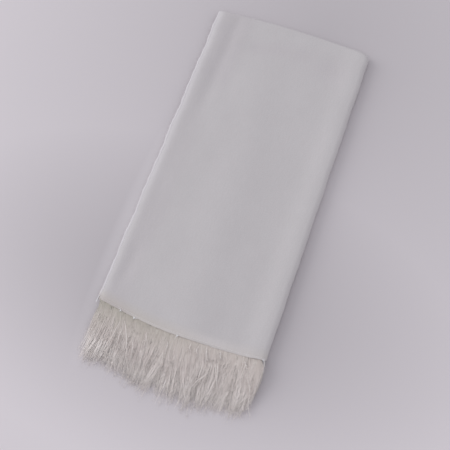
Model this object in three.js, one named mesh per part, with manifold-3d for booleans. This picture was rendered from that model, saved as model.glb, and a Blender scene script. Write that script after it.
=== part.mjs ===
// A shawl hijab: one long rectangle of white chiffon with a feather trim sewn under both short ends.
// It is folded end to end, then in three across its width, then in half again, so that it lies as a
// flat packet of twelve layers with the two feathered ends together at the near side.
// Millimetres, +Z up, +Y from the feathers towards the far fold. The origin is the middle of the
// underside, on the table.
import * as THREE from "three";
import { mergeVertices } from "three/addons/utils/BufferGeometryUtils.js";
import Module from "manifold-3d";

// The cut, and the packet that folding makes of it
const SHAWL_WIDTH = 750;
const SHAWL_LENGTH = 2000;
const PARTS_ACROSS = 3;
const PARTS_ALONG = 4;
const HALF_WIDTH = SHAWL_WIDTH / PARTS_ACROSS / 2;
const HALF_LENGTH = SHAWL_LENGTH / PARTS_ALONG / 2;

// Heights: six layers lie below the middle crease and six above it
const LEAF = 1;
const GAP = 0.3;
const CREASE = 5;
const UPPER_BUNDLE = 5.6;

// The right fold turns from the top down to the crease, and the far bend goes round the whole end
const FOLD_START = 116;
const FOLD_REACH = HALF_WIDTH - FOLD_START;
const FOLD_TIP = 0.6;
const BEND_DEPTH = 7;

// The rolled hem along the free edges
const HEM_WIDTH = 5;
const HEM_RISE = 0.5;

// The short end with the feathers bows outwards, and so does the far fold, which is rounder at its right
const HEM_BOW = { centre: -15, reach: 115, depth: 12, roundness: 1.2 };
const FAR_BOW = { centre: 30, reach: 155, depth: 8, cornerStart: 100, cornerDrop: 5 };
const LOWER_END = { inward: 2, bowShare: 0.6 };

// The long edges wander a little sideways, in waves that die out towards the middle
const EDGE_WAVES = [
  { length: 95, depth: 0.9, start: 40 },
  { length: 61, depth: 0.5, start: 11 },
];
const EDGE_WAVE_REACH = 60;
const RIGHT_EDGE = { share: 0.5, shift: 30 };

// Soft swells and hollows of the top leaf. Each runs from its near point to its far point, x and y,
// and fades past them.
const SWELLS = [
  { name: "right fold crown", near: [113, -262], far: [113, 262], width: 20, fade: 20, height: 3.4 },
  { name: "middle swell", near: [8, -215], far: [-14, 95], width: 34, fade: 60, height: 2.4 },
  { name: "near left swell", near: [-46, -235], far: [-64, -120], width: 17, fade: 30, height: 1 },
  { name: "left swell", near: [-62, 10], far: [-52, 120], width: 16, fade: 35, height: 0.7 },
  { name: "left trough", near: [-104, 110], far: [-97, 225], width: 12, fade: 40, height: -1.7 },
  { name: "left edge droop", near: [-129, -262], far: [-129, 262], width: 9, fade: 20, height: -2.4 },
  { name: "far left hollow", near: [-50, 212], far: [-50, 216], width: 26, fade: 18, height: -0.8 },
  { name: "far right hollow", near: [64, 203], far: [66, 209], width: 24, fade: 22, height: -0.8 },
  { name: "hem hollow", near: [-24, -246], far: [-24, -240], width: 34, fade: 14, height: -0.6 },
];

// The feather trim: a sewn tape with locks of feather standing out of its front
const TAPE = { thickness: 1.4, width: 9, setBack: 1.2, left: -121, gap: 0.4, lowerShare: 0.3 };
const LOCK = { width: 2.6, thickness: 0.9, root: 0.4, point: 0.16, sunk: 0.8, segments: 4 };
const LOCK_LENGTH = 88;
const LENGTH_SPREAD = 11;
const LOCKS_IN_ROW = 46;
const LOCKS_FROM = -119;
const LOCKS_TO = 110;
const TRIMS = [
  {
    name: "feather_trim_upper",
    rows: [
      { side: 0, loft: 5, tip: 8.4 },
      { side: -0.5, loft: 2.4, tip: 6.2 },
    ],
  },
  {
    name: "feather_trim_lower",
    rows: [
      { side: 0, loft: 0.8, tip: 4 },
      { side: -0.5, loft: 0, tip: 1.7 },
    ],
  },
];
const LEAN_WAVES = [
  { length: 128, depth: 0.045, start: 20 },
  { length: 73, depth: 0.02, start: 50 },
];
const LEAN = { left: 0.01, right: 0.12, rowShift: 35 };
const CURL = 0.01;
const TIP_SPREAD = 0.5;

const { lerp, clamp, smoothstep } = THREE.MathUtils;

// The sum of a list of sine waves at a place along them
const waves = (list, at) =>
  list.reduce((sum, w) => sum + w.depth * Math.sin((2 * Math.PI * (at + w.start)) / w.length), 0);

// A fixed scatter between -1 and 1, the same at every run
function scatter(index, kind) {
  const turned = Math.sin(index * 12.9898 + kind * 78.233) * 43758.5453;
  return 2 * (turned - Math.floor(turned)) - 1;
}

function hemBow(x) {
  const off = clamp((x - HEM_BOW.centre) / HEM_BOW.reach, -1, 1);
  return HEM_BOW.depth * Math.cos((Math.PI / 2) * off) ** HEM_BOW.roundness;
}
const hemLine = (x) => -HALF_LENGTH - hemBow(x);
const lowerEnd = (x) => -HALF_LENGTH + LOWER_END.inward - LOWER_END.bowShare * hemBow(x);

function bendLine(x) {
  const off = (x - FAR_BOW.centre) / FAR_BOW.reach;
  const corner = clamp((x - FAR_BOW.cornerStart) / (HALF_WIDTH - FAR_BOW.cornerStart), 0, 1);
  const bow = FAR_BOW.depth * (1 - off * off) - FAR_BOW.cornerDrop * corner * corner;
  return HALF_LENGTH - BEND_DEPTH + bow;
}

// How far the cloth at a place lies aside of its straight line
function wander(x, y) {
  const left = 1 - smoothstep(x, -HALF_WIDTH, -HALF_WIDTH + EDGE_WAVE_REACH);
  const right = smoothstep(x, HALF_WIDTH - EDGE_WAVE_REACH, HALF_WIDTH);
  return left * waves(EDGE_WAVES, y) - RIGHT_EDGE.share * right * waves(EDGE_WAVES, y + RIGHT_EDGE.shift);
}

function swell({ near, far, width, fade, height }, x, y) {
  const along = clamp((y - near[1]) / (far[1] - near[1]), 0, 1);
  const across = (x - lerp(near[0], far[0], along)) / width;
  const beyond = Math.max(near[1] - y, y - far[1], 0) / fade;
  return height * Math.exp(-across * across - beyond * beyond);
}

// Height of the top leaf above the crease, without its hem
const leafRise = (x, y) => UPPER_BUNDLE + SWELLS.reduce((sum, s) => sum + swell(s, x, y), 0);

// The rounded bead of a rolled hem, at a distance in from the free edge
const bead = (inward) => HEM_RISE * Math.sin(Math.PI * clamp(inward / HEM_WIDTH, 0, 1));

// One closed body from rings of points, ring after ring. Each ring goes out along one side and back
// along the other, and a ladder of faces between the two sides closes the first and the last ring.
// The way back splits its faces along the other diagonal, so that both sides of a wall stay parallel.
function loft(rings) {
  const size = rings[0].length;
  const faces = [];
  const quad = (a, b, c, d) => faces.push(a, b, c, a, c, d);
  for (let r = 0; r + 1 < rings.length; r++) {
    for (let i = 0; i < size; i++) {
      const j = (i + 1) % size;
      const corners = [r * size + i, r * size + j, (r + 1) * size + j, (r + 1) * size + i];
      quad(...(i < size / 2 ? corners : [...corners.slice(1), corners[0]]));
    }
  }
  const last = (rings.length - 1) * size;
  for (let i = 0, j = size - 1; i + 1 < j; i++, j--) {
    if (i + 2 > j - 1) {
      faces.push(j, i + 1, i, last + i, last + i + 1, last + j);
    } else {
      quad(j, j - 1, i + 1, i);
      quad(last + i, last + i + 1, last + j - 1, last + j);
    }
  }
  const geometry = new THREE.BufferGeometry().setFromPoints(rings.flat());
  geometry.setIndex(faces);
  return geometry;
}

const wasm = await Module();
wasm.setup();

function solidFrom(geometry) {
  const merged = mergeVertices(geometry, 1e-4);
  const triVerts = new Uint32Array(merged.index.array);
  const vertProperties = merged.attributes.position.array;
  return new wasm.Manifold(new wasm.Mesh({ numProp: 3, vertProperties, triVerts }));
}

function geometryFrom(solid) {
  const { vertProperties, triVerts } = solid.getMesh();
  const geometry = new THREE.BufferGeometry();
  geometry.setAttribute("position", new THREE.BufferAttribute(vertProperties, 3));
  geometry.setIndex(new THREE.BufferAttribute(triVerts, 1));
  return geometry;
}

const join = (geometries) => geometryFrom(wasm.Manifold.union(geometries.map(solidFrom)));

// Places across the packet, from the free left edge to the start of the right fold
const HEM_STEPS = [0, 1.2, 3.6, HEM_WIDTH];
const SPANS_ACROSS = 15;
const acrossStart = -HALF_WIDTH + HEM_WIDTH;
const acrossSteps = Array.from({ length: SPANS_ACROSS }, (_, i) =>
  lerp(acrossStart, FOLD_START, (i + 1) / SPANS_ACROSS),
);
const topPlaces = [...HEM_STEPS.map((step) => step - HALF_WIDTH), ...acrossSteps];
const TURNS = [75, 58, 40, 20, 0].map(THREE.MathUtils.degToRad);

// Stations along the hairpin that every layer follows: over the top, round the far bend, back below
const SPANS_TOP = 16;
const SPANS_BEND = 6;
const PATH_LENGTH = 2 * HALF_LENGTH;
const pathStart = HEM_WIDTH / PATH_LENGTH;
const hemShares = HEM_STEPS.map((step) => step / PATH_LENGTH);
const mainShares = Array.from({ length: SPANS_TOP }, (_, i) => lerp(pathStart, 1, (i + 1) / SPANS_TOP));
const bendTurns = Array.from({ length: SPANS_BEND }, (_, i) => (Math.PI * (i + 1)) / SPANS_BEND);
const stations = [
  ...[...hemShares, ...mainShares].map((share) => ({ share, turn: 0 })),
  ...bendTurns.map((turn) => ({ share: 1, turn })),
  ...[0, ...mainShares.slice(0, -1)].reverse().map((share) => ({ share, turn: Math.PI })),
];

// Where along Y a place x of the packet lies at a station
const alongY = (x, { share, turn }) =>
  lerp(turn === Math.PI ? lowerEnd(x) : hemLine(x), bendLine(x), share);

// Full height of the outer leaf's outside over the crease: the swells above, the flat underside below
function fullRise(x, station) {
  const below = (1 - Math.cos(station.turn)) / 2;
  return lerp(leafRise(x, alongY(x, station)), CREASE, below);
}

// A point of the hairpin: x across, rise out from the crease, full the rise of the outside there
function hairpin(x, rise, full, station) {
  const y = alongY(x, station) + (BEND_DEPTH * (rise / full)) * Math.sin(station.turn);
  const z = CREASE + rise * Math.cos(station.turn);
  return new THREE.Vector3(x + wander(x, y), y, z);
}

// The outer leaf of cloth: over the top, round the right fold and the far bend, and back along the table
function outerLeaf() {
  const rings = stations.map((station) => {
    const outside = [];
    const inside = [];
    for (const x of topPlaces) {
      const full = fullRise(x, station);
      const hem = station.turn === 0 ? bead(x + HALF_WIDTH) + bead(station.share * PATH_LENGTH) : 0;
      outside.push(hairpin(x, full + Math.min(hem, HEM_RISE), full, station));
      inside.push(hairpin(x, full - LEAF, full, station));
    }
    const full = fullRise(FOLD_START, station);
    for (const turn of TURNS) {
      const out = (reach, height) =>
        hairpin(FOLD_START + reach * Math.cos(turn), height, full, station);
      const rise = FOLD_TIP + (full - FOLD_TIP) * Math.sin(turn);
      outside.push(out(FOLD_REACH, rise));
      inside.push(out(FOLD_REACH - LEAF, rise - LEAF * Math.sin(turn)));
    }
    return [...outside, ...inside.reverse()];
  });
  return loft(rings);
}

// The left side of one bundle, from the crease up: the turned fold of the inner layers, then the
// free edges of the leaves that lie over it
const LEFT_PROFILE = [
  { inward: 7, height: 0.03 },
  { inward: 3, height: 0.1 },
  { inward: 1.6, height: 0.32 },
  { inward: 3, height: 0.6 },
  { inward: 5.5, height: 0.7 },
  { inward: 2.4, height: 0.78 },
  { inward: 2.4, height: 1 },
];
const LAYERS_SET_BACK = 14;
const NOSE_TURNS = [30, 60, 84].map(THREE.MathUtils.degToRad);
const CLEAR = LEAF + GAP;

// Half of the hidden layers' ring: up the left profile, over the top and down inside the right fold
function bundleChain(station, upper) {
  const at = upper ? station : { share: station.share, turn: Math.PI - station.turn };
  const point = (x, share, out = 0) => {
    const full = fullRise(x, at);
    return hairpin(x + out, share * (full - CLEAR), full, at);
  };
  return [
    ...LEFT_PROFILE.map(({ inward, height }) => point(inward - HALF_WIDTH, height)),
    ...acrossSteps.map((x) => point(x, 1)),
    ...TURNS.slice(0, -1).map((turn) =>
      point(FOLD_START, Math.sin(turn), (FOLD_REACH - CLEAR) * Math.cos(turn)),
    ),
    point(FOLD_START, LEFT_PROFILE[0].height, FOLD_REACH / 4),
  ];
}

// The near end of the lower bundle, where its leaves turn back in three folds lying on each other
const NEAR_FOLDS = { count: 3, depth: 3, stagger: 1.1, inward: 3, slack: 0.4, fullness: 0.94, overlap: 8 };
const FOLD_ARC = [90, 50, 15, -15, -50, -90].map(THREE.MathUtils.degToRad);

function lowerFolds() {
  const { count, depth, stagger, inward, slack, fullness, overlap } = NEAR_FOLDS;
  const radius = (CREASE - slack - CLEAR) / count / 2;
  const rings = [inward - HALF_WIDTH, ...acrossSteps].map((x) => {
    const ring = [];
    for (let fold = count - 1; fold >= 0; fold--) {
      const middle = CLEAR + radius * (2 * fold + 1);
      const tip = lowerEnd(x) + depth + stagger * fold;
      for (const turn of FOLD_ARC) {
        const height = middle + fullness * radius * Math.sin(turn);
        ring.push(new THREE.Vector3(x, tip - depth * Math.cos(turn), height));
      }
    }
    const back = hemLine(x) + LAYERS_SET_BACK + overlap;
    return [...ring, ...ring.toReversed().map(({ z }) => new THREE.Vector3(x, back, z))];
  });
  return loft(rings);
}

// All hidden layers as one rounded body, with the edges of its leaves and folds showing at the sides
function foldedLayers() {
  const inner = [
    { share: LAYERS_SET_BACK / PATH_LENGTH, turn: 0 },
    ...mainShares.map((share) => ({ share, turn: 0 })),
    ...NOSE_TURNS.map((turn) => ({ share: 1, turn })),
  ];
  const rings = inner.map((station) => [
    ...bundleChain(station, true),
    ...bundleChain(station, false).reverse(),
  ]);
  return join([loft(rings), lowerFolds()]);
}

// The top of a trim's tape at a place: close under the leaf for the upper trim, lower for the other
function tapeTop(trim, x, y) {
  const rise = leafRise(x, y);
  return CREASE + (trim === TRIMS[0] ? rise - LEAF - TAPE.gap : TAPE.lowerShare * rise);
}

function tape(trim) {
  const rings = [TAPE.left, ...acrossSteps].map((x) => {
    const front = hemLine(x) + TAPE.setBack;
    const back = front + TAPE.width;
    const corner = (y, drop) => new THREE.Vector3(x, y, tapeTop(trim, x, y) - drop);
    return [corner(front, 0), corner(front, TAPE.thickness), corner(back, TAPE.thickness), corner(back, 0)];
  });
  return loft(rings);
}

// One lock: a three-sided spike that leaves the tape level, lofts, droops and ends in a blunt point
function lock(trim, row, index) {
  const rowNumber = TRIMS.indexOf(trim) * 2 + trim.rows.indexOf(row);
  const place = (index + (rowNumber % 2) / 2) / (LOCKS_IN_ROW - 0.5);
  const x = lerp(LOCKS_FROM, LOCKS_TO, place);
  const length = LOCK_LENGTH + LENGTH_SPREAD * scatter(index, rowNumber);
  const lean = lerp(LEAN.left, LEAN.right, place) + waves(LEAN_WAVES, x + LEAN.rowShift * rowNumber);
  const curl = CURL * scatter(index, rowNumber + 13);
  const rootY = hemLine(x) + TAPE.setBack + LOCK.sunk;
  const rootZ = tapeTop(trim, x, rootY) - TAPE.thickness / 2 + row.side;
  const tipZ = row.tip + TIP_SPREAD * scatter(index, rowNumber + 7);
  const rings = Array.from({ length: LOCK.segments + 1 }, (_, i) => {
    const share = i / LOCK.segments;
    const girth = LOCK.root + (1 - LOCK.root) * Math.sin(Math.PI * Math.min(share * 1.1, 0.9));
    const taper = share === 1 ? LOCK.point : girth;
    const aside = x + length * share * (lean + curl * share * share);
    const out = rootY - length * share * Math.cos(lean);
    const height = lerp(rootZ, tipZ, smoothstep(share, 0, 1)) + row.loft * Math.sin(Math.PI * share);
    const half = (LOCK.width / 2) * taper;
    const rise = LOCK.thickness * taper;
    return [
      new THREE.Vector3(aside + half, out, height - rise / 3),
      new THREE.Vector3(aside, out, height + (2 * rise) / 3),
      new THREE.Vector3(aside - half, out, height - rise / 3),
    ];
  });
  return loft(rings);
}

function featherTrim(trim) {
  const locks = trim.rows.flatMap((row) =>
    Array.from({ length: LOCKS_IN_ROW }, (_, index) => lock(trim, row, index)),
  );
  return join([tape(trim), ...locks]);
}

const chiffon = new THREE.MeshStandardMaterial({ color: 0xe6e6e8, roughness: 0.8, metalness: 0 });
const feather = new THREE.MeshStandardMaterial({ color: 0xd8c8bf, roughness: 0.7, metalness: 0 });

function piece(name, geometry, material) {
  const mesh = new THREE.Mesh(geometry, material);
  mesh.name = name;
  return mesh;
}

const hijab = new THREE.Group();
hijab.add(piece("shawl_outer_leaf", outerLeaf(), chiffon));
hijab.add(piece("shawl_folded_layers", foldedLayers(), chiffon));
for (const trim of TRIMS) {
  hijab.add(piece(trim.name, featherTrim(trim), feather));
}

export default hijab;
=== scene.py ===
import math

import bmesh
import bpy
import numpy as np
from mathutils import Matrix, Vector, noise


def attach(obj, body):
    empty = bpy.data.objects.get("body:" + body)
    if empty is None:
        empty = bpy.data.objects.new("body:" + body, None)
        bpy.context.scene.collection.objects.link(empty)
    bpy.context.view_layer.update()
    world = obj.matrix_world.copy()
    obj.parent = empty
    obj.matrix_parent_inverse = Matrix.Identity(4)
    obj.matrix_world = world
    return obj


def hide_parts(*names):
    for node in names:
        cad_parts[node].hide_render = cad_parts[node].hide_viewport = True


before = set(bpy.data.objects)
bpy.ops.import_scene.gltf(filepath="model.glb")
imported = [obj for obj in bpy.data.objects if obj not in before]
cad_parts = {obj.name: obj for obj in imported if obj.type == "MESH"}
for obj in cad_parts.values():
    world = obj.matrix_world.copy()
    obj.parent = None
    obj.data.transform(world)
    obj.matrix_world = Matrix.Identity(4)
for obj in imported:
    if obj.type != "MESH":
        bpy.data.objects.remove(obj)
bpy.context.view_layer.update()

# The camera looks down on the packet from the feathered end, turned a little to the right.
# Its place, turn and lens follow from the perspective of the packet's four corners.
AZIMUTH, ELEVATION, ROLL = (math.radians(degrees) for degrees in (15.947, 71.429, 4.051))
LOOKED_AT = Vector((0.00484, -0.08502, 0))
DISTANCE = 1.13235
LENS, SENSOR = 62.16, 36

back = Vector((
    math.sin(AZIMUTH) * math.cos(ELEVATION),
    -math.cos(AZIMUTH) * math.cos(ELEVATION),
    math.sin(ELEVATION),
))
level = Vector((math.cos(AZIMUTH), math.sin(AZIMUTH), 0))
turned = Matrix((level, back.cross(level), back)).transposed().to_4x4()
camera = bpy.data.objects.new("camera", bpy.data.cameras.new("camera"))
camera.data.lens, camera.data.sensor_width = LENS, SENSOR
camera.matrix_world = (
    Matrix.Translation(LOOKED_AT + DISTANCE * back) @ turned @ Matrix.Rotation(ROLL, 4, "Z")
)
bpy.context.scene.collection.objects.link(camera)
bpy.context.scene.camera = camera
bpy.context.scene.view_settings.view_transform = "Standard"

# The table is a plain pale lilac-grey surface, with painted shade behind the packet and beside its
# near half, and painted light along the packet's left edge. It only stands in the picture, so it isn't
# part of the shawl.
TABLE_HALF = 3.0
TABLE_DROP = 0.0003
# The table's own tone, and the darker tone of its painted shade
TABLE_LIGHT, TABLE_DARK = (0.79, 0.746, 0.773, 1), (0.571, 0.54, 0.559, 1)
FAR_SHADE = {"centre": (0.046, 0.277), "reach": (0.64, 0.71)}
NEAR_SHADE = {"centre": (-0.014, -0.211), "reach": (0.42, 0.24), "strength": 0.31}
LEFT_PAINTED_LIGHT = {
    "centre": (-0.122, -0.14), "reach": (0.026, 0.22), "strength": 0.42, "colour": (1, 0.96, 0.985, 1),
}


def shader(name, values):
    """A new material, its principled shader with inputs set by name, and its node tree."""
    material = bpy.data.materials.new(name)
    material.use_nodes = True
    surface = material.node_tree.nodes["Principled BSDF"]
    for key, value in values.items():
        surface.inputs[key].default_value = value
    return material, surface, material.node_tree


def add_node(tree, kind, links=(), **values):
    """A node with its values set by input name or attribute, and its inputs linked to other outputs."""
    node = tree.nodes.new(kind)
    for key, value in values.items():
        if key in node.inputs:
            node.inputs[key].default_value = value
        else:
            setattr(node, key, value)
    for key, output in dict(links).items():
        tree.links.new(output, node.inputs[key])
    return node


def mixed(tree, first, amount, second, blend="MIX"):
    """The first colour mixed with an amount of the second. Each is a value or another node's output."""
    both = add_node(tree, "ShaderNodeMix", data_type="RGBA", blend_type=blend)
    for key, value in (("A", first), ("Factor", amount), ("B", second)):
        if isinstance(value, bpy.types.NodeSocket):
            tree.links.new(value, both.inputs[key])
        else:
            both.inputs[key].default_value = value
    return both.outputs["Result"]


def table_material():
    """A pale tone with painted shade in a wide spot and in a second one, and painted light in a third."""
    material, surface, tree = shader("table", {"Roughness": 0.75, "Specular IOR Level": 0.2})
    place = add_node(tree, "ShaderNodeTexCoord")

    def spot(shade):
        mapped = add_node(tree, "ShaderNodeMapping", {"Vector": place.outputs["Object"]})
        start = (-centre / reach for centre, reach in zip(shade["centre"], shade["reach"]))
        mapped.inputs["Location"].default_value = (*start, 0)
        mapped.inputs["Scale"].default_value = (*(1 / reach for reach in shade["reach"]), 1)
        return add_node(
            tree, "ShaderNodeTexGradient", {"Vector": mapped.outputs[0]}, gradient_type="SPHERICAL"
        )

    colour = mixed(tree, TABLE_LIGHT, spot(FAR_SHADE).outputs["Color"], TABLE_DARK)
    dim = (*[1 - NEAR_SHADE["strength"]] * 3, 1)
    colour = mixed(tree, colour, spot(NEAR_SHADE).outputs["Color"], dim, "MULTIPLY")
    share = add_node(tree, "ShaderNodeMath", {0: spot(LEFT_PAINTED_LIGHT).outputs["Fac"]}, operation="MULTIPLY")
    share.inputs[1].default_value = LEFT_PAINTED_LIGHT["strength"]
    colour = mixed(tree, colour, share.outputs[0], LEFT_PAINTED_LIGHT["colour"])
    tree.links.new(colour, surface.inputs["Base Color"])
    return material


def placed(name, mesh):
    """The mesh as an object at the origin."""
    piece = bpy.data.objects.new(name, mesh)
    bpy.context.scene.collection.objects.link(piece)
    return piece


def finished(name, bm, material):
    """An object at the origin that holds the bmesh, shaded smooth."""
    mesh = bpy.data.meshes.new(name)
    bm.to_mesh(mesh)
    bm.free()
    mesh.materials.append(material)
    mesh.shade_smooth()
    return placed(name, mesh)


bm = bmesh.new()
bmesh.ops.create_grid(bm, x_segments=1, y_segments=1, size=TABLE_HALF)
bmesh.ops.translate(bm, verts=bm.verts, vec=(0, 0, -TABLE_DROP))
table = finished("table", bm, table_material())

# Soft daylight: a wide lamp low on the left of the packet, and pale light from all round.
LAMP_ELEVATION = math.radians(26)
LAMP_DISTANCE, LAMP_SIZE, LAMP_POWER = 5.5, 4.2, 112
SKY_COLOUR, SKY_STRENGTH = (0.955, 0.95, 1, 1), 0.665

lamp = bpy.data.objects.new("lamp", bpy.data.lights.new("lamp", "AREA"))
lamp.data.shape, lamp.data.size, lamp.data.energy = "DISK", LAMP_SIZE, LAMP_POWER
towards_lamp = Vector((-math.cos(LAMP_ELEVATION), 0, math.sin(LAMP_ELEVATION)))
lamp.location = LAMP_DISTANCE * towards_lamp
lamp.rotation_euler = towards_lamp.to_track_quat("Z", "Y").to_euler()
bpy.context.scene.collection.objects.link(lamp)

world = bpy.data.worlds.new("room")
world.use_nodes = True
world.node_tree.nodes["Background"].inputs["Color"].default_value = SKY_COLOUR
world.node_tree.nodes["Background"].inputs["Strength"].default_value = SKY_STRENGTH
bpy.context.scene.world = world

# The shawl panel: one rectangle of sheer white chiffon, folded into a packet of twelve layers.
# This piece is the stretch that shows: over the top, round the right fold and the far bend, and back
# along the table. It is laid from a flat grid, each point of which goes where folding takes it.
MM = 0.001
HALF_WIDTH, HALF_LENGTH = 125, 250
CREASE, UPPER_BUNDLE = 5, 5.6
FOLD_START, FOLD_TIP = 116, 0.6
BEND_DEPTH = 7
PANEL_THICKNESS = 0.4

HEM_BOW = {
    "centre": -15, "depth": 12,
    "left": {"reach": 115, "roundness": 1.2}, "right": {"reach": 146, "roundness": 0.5},
}
LOWER_END = {"inward": 2, "bow_share": 0.6}
FAR_BOW = {"centre": 30, "reach": 155, "depth": 8, "corner_start": 100, "corner_drop": 5}
EDGE_WAVES = (
    {"length": 95, "depth": 0.5, "start": 40},
    {"length": 61, "depth": 0.3, "start": 11},
    {"length": 23, "depth": 0.28, "start": 4},
)
EDGE_WAVE_REACH = 60
RIGHT_EDGE = {"share": 0.5, "shift": 30}

# Swells that lift all leaves of the top, then those of the outer leaf alone. Each has a near and a far
# point that it runs between, a width, a fade beyond its ends and a height, in mm.
SWELLS = {
    "right fold crown": ((113, -262), (113, 262), 20, 20, 3.4),
    "middle swell": ((8, -215), (-14, 95), 34, 60, 2.4),
    "near left swell": ((-46, -235), (-64, -120), 22, 30, 0.3),
    "left swell": ((-62, 10), (-52, 120), 16, 35, 0.7),
    "left trough": ((-92, 105), (-90, 222), 11, 36, -2.0),
    "left hollow": ((-70, 125), (-66, 215), 30, 40, -1.2),
    "left edge droop": ((-129, -262), (-129, 262), 9, 20, -2.4),
    "far left hollow": ((-48, 206), (-48, 210), 20, 16, -1.3),
    "far right hollow": ((72, 200), (74, 208), 20, 18, -1.2),
    "hem hollow": ((-24, -246), (-24, -240), 34, 14, -0.6),
}
CREASES = {
    "left edge fall": ((-130, -262), (-130, 262), 8, 20, -1.9),
    "near middle swell": ((2, -226), (-6, -105), 56, 30, 1.7),
    "crown rise": ((112, -236), (111, 90), 17, 70, 0.9),
    "near left dip": ((-102, -204), (-99, -172), 11, 20, -1.5),
    "long left hollow": ((-104, -150), (-101, 60), 9, 50, -0.3),
    "far ridge": ((-20, 140), (22, 236), 12, 30, 0.25),
    "near right ridge": ((70, -240), (62, -170), 10, 26, 0.25),
}
RIPPLES = (
    {"scale": 34, "depth": 0.28, "seed": 3.1},
    {"scale": 11, "depth": 0.07, "seed": 7.7},
)
RIPPLE_STRETCH = 0.7
RIPPLE_FADE = {"right": 30, "left": 25, "near": 20}


def smooth(value, low, high):
    """0 up to the low value, 1 from the high one on, and a soft rise between them."""
    share = np.clip((value - low) / (high - low), 0, 1)
    return share * share * (3 - 2 * share)


def hem_bow(x):
    """How far the near end bows out, at a place across the packet in mm."""
    def side(part):
        off = np.clip((x - HEM_BOW["centre"]) / part["reach"], -1, 1)
        return np.cos(math.pi / 2 * off).clip(0) ** part["roundness"]

    bow = np.where(x < HEM_BOW["centre"], side(HEM_BOW["left"]), side(HEM_BOW["right"]))
    return HEM_BOW["depth"] * bow


def hem_line(x):
    """Where the near end of the panel lies, along the packet."""
    return -HALF_LENGTH - hem_bow(x)


def bend_line(x):
    """How far along the packet the far bend starts."""
    off = (x - FAR_BOW["centre"]) / FAR_BOW["reach"]
    corner = np.clip((x - FAR_BOW["corner_start"]) / (HALF_WIDTH - FAR_BOW["corner_start"]), 0, 1)
    bow = FAR_BOW["depth"] * (1 - off**2) - FAR_BOW["corner_drop"] * corner**2
    return HALF_LENGTH - BEND_DEPTH + bow


def along(x, share, turn):
    """The place along the packet at a share of the way from its near end to the bend."""
    near_low = -HALF_LENGTH + LOWER_END["inward"] - LOWER_END["bow_share"] * hem_bow(x)
    near = np.where(turn >= math.pi, near_low, hem_line(x))
    return near + (bend_line(x) - near) * share


def wander(x, y):
    """How far the two long edges stray sideways, which fades out towards the middle."""
    def waves(at):
        return sum(w["depth"] * np.sin(2 * math.pi * (at + w["start"]) / w["length"]) for w in EDGE_WAVES)

    left = 1 - smooth(x, -HALF_WIDTH, -HALF_WIDTH + EDGE_WAVE_REACH)
    right = smooth(x, HALF_WIDTH - EDGE_WAVE_REACH, HALF_WIDTH)
    return left * waves(y) - RIGHT_EDGE["share"] * right * waves(y + RIGHT_EDGE["shift"])


def swell(row, x, y):
    """The height of one swell: full along its line, less beside it and beyond its ends."""
    (near_x, near_y), (far_x, far_y), width, fade, height = row
    length = math.hypot(far_x - near_x, far_y - near_y)
    line_x, line_y = (far_x - near_x) / length, (far_y - near_y) / length
    run = (x - near_x) * line_x + (y - near_y) * line_y
    across = (x - near_x) * line_y - (y - near_y) * line_x
    beyond = np.maximum(np.maximum(-run, run - length), 0) / fade
    return height * np.exp(-((across / width) ** 2) - beyond**2)


def leaf_rise(x, y):
    """How high the leaves of the top lie over the middle crease, with their swells."""
    return UPPER_BUNDLE + sum(swell(s, x, y) for s in SWELLS.values())


def hairpin(x, rise, full, share, turn):
    """Folded places in mm: rise is the height out from the middle crease, full that of the outside."""
    y = along(x, share, turn) + BEND_DEPTH * (rise / full) * np.sin(turn)
    z = CREASE + rise * np.cos(turn)
    return np.stack([x + wander(x, y), y, z], axis=-1)


TOP_RUN = 2 * HALF_LENGTH
BEND_RUN = 22


def station(v):
    """Share of the way to the bend, and turn round it, at a distance v along the folded cloth."""
    share = np.minimum(v / TOP_RUN, 1)
    turn = np.clip((v - TOP_RUN) / BEND_RUN, 0, 1) * math.pi
    below = np.maximum((v - TOP_RUN - BEND_RUN) / TOP_RUN, 0)
    return np.where(below > 0, 1 - below, share), turn


def full_rise(x, share, turn):
    """Height of the outside over the crease: the swells above, and the flat underside below."""
    y = along(x, share, turn)
    above = leaf_rise(x, y) + sum(swell(s, x, y) for s in CREASES.values())
    return above + (CREASE - above) * (1 - np.cos(turn)) / 2


FOLD_REACH = HALF_WIDTH - FOLD_START
ACROSS_TOP = HALF_WIDTH + FOLD_START
FOLD_RUN = 14
FOLD_FULLNESS = 0.75
RETURN_RUN = 22


def ripple(points, strength):
    """Small uneven waves of the cloth, in mm."""
    lift = np.zeros(len(points))
    for r in RIPPLES:
        for i, (x, y, _) in enumerate(points):
            where = Vector((x / r["scale"], y / r["scale"] * RIPPLE_STRETCH, r["seed"]))
            lift[i] += r["depth"] * noise.noise(where)
    return lift * strength


def outer_place(u, v, sunk=0.0):
    """Where folding takes a point at u across and v along the flat cut, or sunk under it, in mm."""
    share, turn = station(v)
    round_fold = np.clip((u - ACROSS_TOP) / FOLD_RUN, 0, 1)
    angle = (1 - round_fold) * math.pi / 2
    flat_x = np.minimum(u, ACROSS_TOP) - HALF_WIDTH
    full = full_rise(flat_x, share, turn)
    fall = np.sin(angle).clip(0) ** FOLD_FULLNESS
    rise = np.where(u > ACROSS_TOP, FOLD_TIP + (full - FOLD_TIP - sunk) * fall, full - sunk)
    x = flat_x + np.where(u > ACROSS_TOP, (FOLD_REACH - sunk) * np.cos(angle), 0)
    x -= np.maximum(u - ACROSS_TOP - FOLD_RUN, 0)
    places = hairpin(x, rise, full, share, turn)
    above = np.clip(np.cos(turn), 0, 1) * smooth(ACROSS_TOP + FOLD_RUN - u, 0, RIPPLE_FADE["right"])
    above = above * smooth(u, 0, RIPPLE_FADE["left"]) * smooth(v, 0, RIPPLE_FADE["near"])
    places[:, 2] += ripple(places, above)
    return places


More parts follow.
